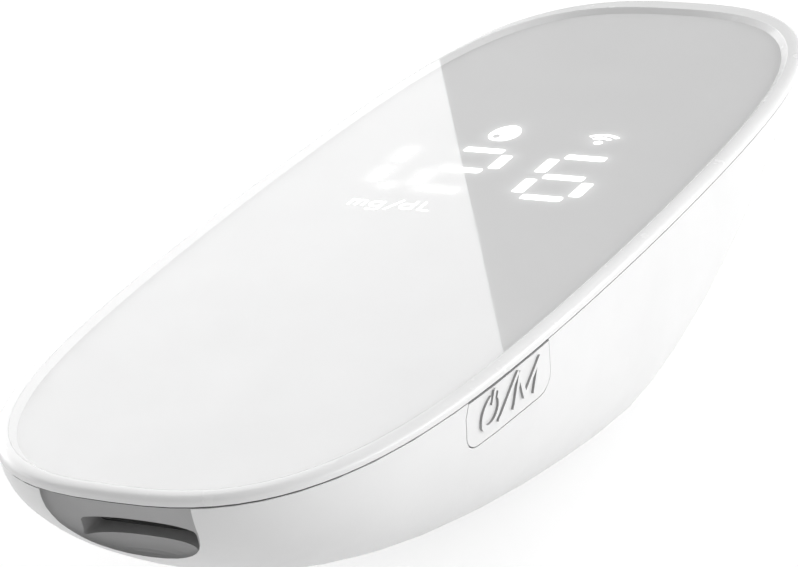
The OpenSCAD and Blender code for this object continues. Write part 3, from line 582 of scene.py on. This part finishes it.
class METER_OT_display(Operator):
    """Builds the clear lens and the soft light round the lit bars"""
    bl_idname = "meter.display"
    bl_label = "Display"

    def execute(self, context):
        s = context.scene.meter_face
        lens = self.lens(s)
        self.cut_underside(lens, s)
        self.glow(lens, s)
        paint(lens, clear_lens("lens_clear", s.halo))
        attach(lens, "case")
        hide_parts("cover_lens")
        lit = lit_inlay("lit_white", (1, 1, 1), s.lamp_strength)
        for name in INLAYS:
            paint(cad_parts[name], lit)
        paint(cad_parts["display_mask"],
              moulded("mask_grey", (0.5, 0.5, 0.51), 0.7, INNER_GRAIN, depth=0.000006,
                      tone=0.03))
        paint(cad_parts["light_guides"], guide("guide_acrylic", (0.93, 0.95, 0.96)))
        return {"FINISHED"}

    def lens(self, s):
        """The clear lens, its side leaning like the pocket's wall, just clear of the print."""
        lens = merged_copy("cover_lens", "face_lens", crease=30, level=LENS_HIGH.z)
        underside = LENS_LOW.z + 0.02 * MM
        for v in lens.data.vertices:
            if v.co.z < underside:
                v.co.z = underside
                draw_in(v, s.fade)
        bpy.ops.object.shade_flat()
        bpy.ops.object.mode_set(mode="EDIT")
        bpy.ops.mesh.select_mode(type="FACE")
        bpy.ops.mesh.select_all(action="SELECT")
        bpy.ops.mesh.dissolve_limited(angle_limit=math.radians(0.5))
        return lens

    def cut_underside(self, lens, s):
        """Cut the underside into a fine grid that carries the light round the bars."""
        boxes = [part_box(n) for n in INLAYS]
        margin = 2 * s.halo_reach
        for axis in (0, 1):
            low = min(b[0][axis] for b in boxes) - margin
            high = max(b[1][axis] for b in boxes) + margin
            across = [0, 0, 0]
            across[axis] = 1
            for i in range(int((high - low) / s.halo_step) + 1):
                point = [0, 0, 0]
                point[axis] = low + i * s.halo_step
                bpy.ops.object.mode_set(mode="OBJECT")
                for f in lens.data.polygons:
                    f.select = f.normal.z < -0.9
                bpy.ops.object.mode_set(mode="EDIT")
                bpy.ops.mesh.bisect(plane_co=point, plane_no=across)
        bpy.ops.object.mode_set(mode="OBJECT")

    def glow(self, lens, s):
        """Give each point of the underside its nearness to a lit bar."""
        fall = 2.2
        below_top = LENS_HIGH.z - 0.1 * MM
        glow = lens.data.attributes.new("glow", "FLOAT", "POINT")
        reach = s.halo_reach
        points = [(v.co.xy, v.co.z < below_top) for v in lens.data.vertices]
        values = [0.0] * len(points)
        for name in HALO_INLAYS:
            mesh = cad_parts[name].data
            mesh.calc_loop_triangles()
            for t in mesh.loop_triangles:
                if t.normal.z < 0.9:
                    continue
                tri = [mesh.vertices[i].co.xy for i in t.vertices]
                x0, x1 = min(q.x for q in tri) - 2 * reach, max(q.x for q in tri) + 2 * reach
                y0, y1 = min(q.y for q in tri) - 2 * reach, max(q.y for q in tri) + 2 * reach
                for i, (p, low) in enumerate(points):
                    if low and x0 < p.x < x1 and y0 < p.y < y1:
                        d = triangle_distance(p, tri)
                        values[i] = max(values[i], math.exp(-(d / reach) ** 2 * fall))
        for i, v in enumerate(values):
            glow.data[i].value = v


class METER_OT_button(Operator):
    """Builds the power button and finishes its switch"""
    bl_idname = "meter.button"
    bl_label = "Power button"

    def execute(self, context):
        s = context.scene.meter_case
        button = merged_copy("power_button", "button_cap", crease=24)
        # The second material is painted shade on the sides of the raised marks.
        paint(button,
              moulded("button_white", s.white, 0.34, s.grain, s.grain_depth),
              moulded("mark_shade", s.mark_shade, 0.5, s.grain, s.grain_depth))
        self.paint_shade_on_marks(button)
        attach(button, "button")
        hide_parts("power_button")
        body = moulded("switch_black", (0.1, 0.1, 0.105), 0.5, INNER_GRAIN, depth=0.000005,
                       tone=0.06)
        for name in ("switch_body", "switch_plunger"):
            paint(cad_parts[name], body)
        return {"FINISHED"}

    def paint_shade_on_marks(self, button):
        """Give the second material, painted shade, to the sides of the marks, which lie inside these
        margins.
        """
        near, far, under, over, deep = 1.5 * MM, 1.2 * MM, 0.5 * MM, 0.15 * MM, 2 * MM
        low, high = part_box("power_button")
        for f in button.data.polygons:
            c = f.center
            if (abs(f.normal.x) < 0.5 and c.x > low.x + deep
                    and low.y + near < c.y < high.y - far
                    and low.z + under < c.z < high.z - over):
                f.material_index = 1


class METER_OT_port(Operator):
    """Finishes the strip port, its connector and contacts"""
    bl_idname = "meter.port"
    bl_label = "Strip port"

    def execute(self, context):
        s = context.scene.meter_case
        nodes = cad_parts
        # The insert's grey is half the scoop's painted shade grey.
        paint(nodes["strip_port_insert"],
              moulded("port_insert_grey", scaled(s.port_grey, 0.5), 0.55, s.grain,
                      depth=0.000004, tone=0.03))
        paint(nodes["strip_connector"],
              moulded("connector_cream", (0.82, 0.79, 0.72), 0.55, INNER_GRAIN,
                      depth=0.000004, tone=0.03))
        paint(nodes["strip_contacts"], metal("contact_gold", (0.86, 0.66, 0.3), 0.22, "Y"))
        return {"FINISHED"}


class METER_OT_ejector(Operator):
    """Finishes the strip ejector's slide, carriage and spring"""
    bl_idname = "meter.ejector"
    bl_label = "Strip ejector"

    def execute(self, context):
        s = context.scene.meter_case
        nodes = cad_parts
        paint(nodes["ejector_slider"],
              moulded("slider_white", scaled(s.white, 0.98), 0.4, s.grain, s.grain_depth))
        paint(nodes["ejector_carriage"], metal("carriage_steel", (0.68, 0.68, 0.7), 0.32, "Y"))
        paint(nodes["ejector_spring"],
              metal("spring_steel", (0.7, 0.7, 0.72), 0.25, "X", line=0.00004))
        return {"FINISHED"}


class METER_OT_electronics(Operator):
    """Finishes the circuit board and everything on it"""
    bl_idname = "meter.electronics"
    bl_label = "Electronics"

    def execute(self, context):
        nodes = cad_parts
        paint(nodes["main_board"], laminate("board_green", (0.03, 0.2, 0.09)))
        paint(nodes["board_screws"], metal("screw_zinc", (0.72, 0.72, 0.73), 0.3, "Z"))
        paint(nodes["processor_chip"],
              moulded("chip_epoxy", (0.05, 0.05, 0.052), 0.55, grain=0.00012, depth=0.000004,
                      tone=0.08))
        paint(nodes["radio_module"], metal("shield_tin", (0.76, 0.76, 0.77), 0.34, "X"))
        paint(nodes["board_parts"],
              moulded("ceramic_tan", (0.55, 0.42, 0.28), 0.45, grain=0.0003, depth=0.000004,
                      tone=0.12))
        paint(nodes["led_array"],
              moulded("phosphor_yellow", (0.86, 0.8, 0.42), 0.4, grain=0.0001, depth=0.000002,
                      tone=0.06))
        return {"FINISHED"}


class METER_OT_battery(Operator):
    """Finishes the battery cell, its tray, foam and tabs"""
    bl_idname = "meter.battery"
    bl_label = "Battery"

    def execute(self, context):
        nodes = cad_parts
        paint(nodes["battery_cell"], foil("pouch_foil", (0.72, 0.74, 0.78)))
        paint(nodes["battery_tray"],
              moulded("tray_grey", (0.2, 0.2, 0.21), 0.6, INNER_GRAIN, depth=0.000005,
                      tone=0.05))
        paint(nodes["battery_foam"], foam("foam_dark", (0.1, 0.1, 0.11)))
        paint(nodes["battery_tabs"], metal("tab_nickel", (0.74, 0.73, 0.7), 0.3, "Z"))
        return {"FINISHED"}


class METER_OT_socket(Operator):
    """Finishes the charging socket"""
    bl_idname = "meter.socket"
    bl_label = "Charging socket"

    def execute(self, context):
        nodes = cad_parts
        paint(nodes["charging_socket"], metal("socket_steel", (0.74, 0.74, 0.75), 0.3, "X"))
        paint(nodes["socket_tongue"],
              moulded("tongue_black", (0.04, 0.04, 0.042), 0.5, INNER_GRAIN, depth=0.000004,
                      tone=0.08))
        return {"FINISHED"}


# ---------- stage ----------

FLOOR_SIZE = 6.0
SENSOR_WIDTH = 36.0     # of the camera, in millimetres

# Each lamp: its name, the setting with its power, its place and its size
LAMPS = (("left_lamp", "left_power", (-0.47, 0.1, 0.14), (0.6, 0.22)),
         ("right_lamp", "right_power", (0.45, 0.22, 0.14), (0.6, 0.22)),
         ("top_lamp", "top_power", (0.0, 0.4, 0.5), (0.5, 0.5)))

# Two points of the line on the face along which the softbox's mirror image ends
SOFTBOX_EDGE = (Vector((-14.22, 29.42)) * MM, Vector((15.57, -22.5)) * MM)
SOFTBOX_AWAY, SOFTBOX_WIDTH, SOFTBOX_HEIGHT = 0.7, 0.8, 1.2


def camera_axes(s):
    """Right, up and backward directions of the camera, and its place."""
    a, e = s.azimuth, s.elevation
    back = Vector((math.sin(a) * math.cos(e), -math.cos(a) * math.cos(e), math.sin(e)))
    flat = Vector((math.cos(a), math.sin(a), 0))
    up = back.cross(flat)
    right = flat * math.cos(s.roll) + up * math.sin(s.roll)
    top = -flat * math.sin(s.roll) + up * math.cos(s.roll)
    place = back * s.distance - right * s.aim[0] - top * s.aim[1] + Vector((0, 0, SEAM_Z))
    return right, top, back, place


class METER_OT_stage(Operator):
    """Sets the camera, the floor, the lamps and the white surroundings"""
    bl_idname = "meter.stage"
    bl_label = "Studio"

    def execute(self, context):
        s = context.scene.meter_stage
        self.camera(context, s)
        self.surroundings(context, s)
        self.floor(s)
        self.lamps(context, s)
        self.softbox(s)
        context.scene.view_settings.view_transform = "Standard"
        return {"FINISHED"}

    def camera(self, context, s):
        right, top, back, place = camera_axes(s)
        data = bpy.data.cameras.new("camera")
        data.sensor_width = SENSOR_WIDTH
        data.lens = s.focal / s.picture_width * SENSOR_WIDTH
        data.clip_start = 0.01
        camera = bpy.data.objects.new("camera", data)
        context.scene.collection.objects.link(camera)
        turn = Matrix((right, top, back)).transposed().to_4x4()
        turn.translation = place
        camera.matrix_world = turn
        context.scene.camera = camera

    def surroundings(self, context, s):
        """White where the camera sees it, and an even light of its own strength elsewhere."""
        world = bpy.data.worlds.new("white_surroundings")
        context.scene.world = world
        world.use_nodes = True
        tree = world.node_tree
        paths = tree.nodes.new("ShaderNodeLightPath")
        seen = tree.nodes.new("ShaderNodeMath")
        seen.operation = "MAXIMUM"
        tree.links.new(paths.outputs["Is Camera Ray"], seen.inputs[0])
        tree.links.new(paths.outputs["Is Transmission Ray"], seen.inputs[1])
        strength = tree.nodes.new("ShaderNodeMapRange")
        strength.inputs["To Min"].default_value = s.ambient
        strength.inputs["To Max"].default_value = 1
        tree.links.new(seen.outputs[0], strength.inputs["Value"])
        background = tree.nodes["Background"]
        background.inputs["Color"].default_value = (1, 1, 1, 1)
        tree.links.new(strength.outputs["Result"], background.inputs["Strength"])

    def floor(self, s):
        """A white floor: plain to the lamps' light, and near white with its shadow where seen."""
        floor = added_plane("studio_floor", FLOOR_SIZE)
        f = Finish.bare("floor_white")
        paths = f.node("ShaderNodeLightPath").outputs
        seen = f.math("MAXIMUM", paths["Is Camera Ray"], paths["Is Glossy Ray"])
        seen = f.math("MAXIMUM", seen, paths["Is Transmission Ray"])
        near_white = f.sum(f.diffuse(s.floor_shade), f.emission(s.floor_light))
        f.finish(f.mix(seen, f.diffuse(s.floor_white), near_white))
        paint(floor, f.mat)

    def lamps(self, context, s):
        for name, power, place, size in LAMPS:
            data = bpy.data.lights.new(name, "AREA")
            data.shape = "RECTANGLE"
            data.size, data.size_y = size
            data.energy = getattr(s, power)
            lamp = bpy.data.objects.new(name, data)
            lamp.location = place
            aim = Vector((0, 0, SEAM_Z)) - lamp.location
            lamp.rotation_euler = aim.to_track_quat("-Z", "Y").to_euler()
            context.scene.collection.objects.link(lamp)

    def softbox(self, s):
        """A tall softbox behind the meter whose right edge is mirrored across the face."""
        right, top, back, place = camera_axes(s)
        corners = []
        for mark in SOFTBOX_EDGE:
            point = Vector((mark.x, mark.y, LENS_HIGH.z))
            ray = (point - place).normalized()
            ray.z = -ray.z
            corners.append(point + ray * SOFTBOX_AWAY)
        edge = (corners[0] - corners[1]).normalized()
        middle = (corners[0] + corners[1]) / 2
        facing = (Vector((0, 0, LENS_HIGH.z)) - middle).normalized()
        side = edge.cross(facing).normalized()
        if side.dot(right) > 0:
            side = -side
        normal = side.cross(edge).normalized()
        if normal.dot(facing) < 0:
            normal = -normal
        up = normal.cross(side)
        turn = Matrix((side * SOFTBOX_WIDTH, up * SOFTBOX_HEIGHT, normal)).transposed().to_4x4()
        turn.translation = middle + side * SOFTBOX_WIDTH / 2
        box = added_plane("softbox", 1)
        box.matrix_world = turn
        f = Finish.bare("softbox_light")
        f.finish(f.emission(s.softbox_tone))
        paint(box, f.mat)
        box.visible_camera = False
        box.visible_diffuse = False
        box.visible_shadow = False


class METER_PT_panel(Panel):
    """Lists the meter's pieces and its settings"""
    bl_idname = "METER_PT_panel"
    bl_label = "Meter"
    bl_space_type = "VIEW_3D"
    bl_region_type = "UI"
    bl_category = "Meter"

    def draw(self, context):
        layout = self.layout
        for name, group in SETTINGS.items():
            box = layout.box()
            for key in group.__annotations__:
                box.prop(getattr(context.scene, name), key)
        for operator in OPERATORS:
            layout.operator(operator.bl_idname)


OPERATORS = (METER_OT_case, METER_OT_cover, METER_OT_display, METER_OT_button, METER_OT_port,
             METER_OT_ejector, METER_OT_electronics, METER_OT_battery, METER_OT_socket,
             METER_OT_stage)


def register():
    for group in (*SETTINGS.values(), *OPERATORS, METER_PT_panel):
        bpy.utils.register_class(group)
    for name, group in SETTINGS.items():
        setattr(bpy.types.Scene, name, PointerProperty(type=group))


def unregister():
    for name in SETTINGS:
        delattr(bpy.types.Scene, name)
    for group in reversed((*SETTINGS.values(), *OPERATORS, METER_PT_panel)):
        bpy.utils.unregister_class(group)


def main():
    register()
    for operator in OPERATORS:
        group, name = operator.bl_idname.split(".")
        getattr(getattr(bpy.ops, group), name)()


if __name__ == "__main__":
    main()
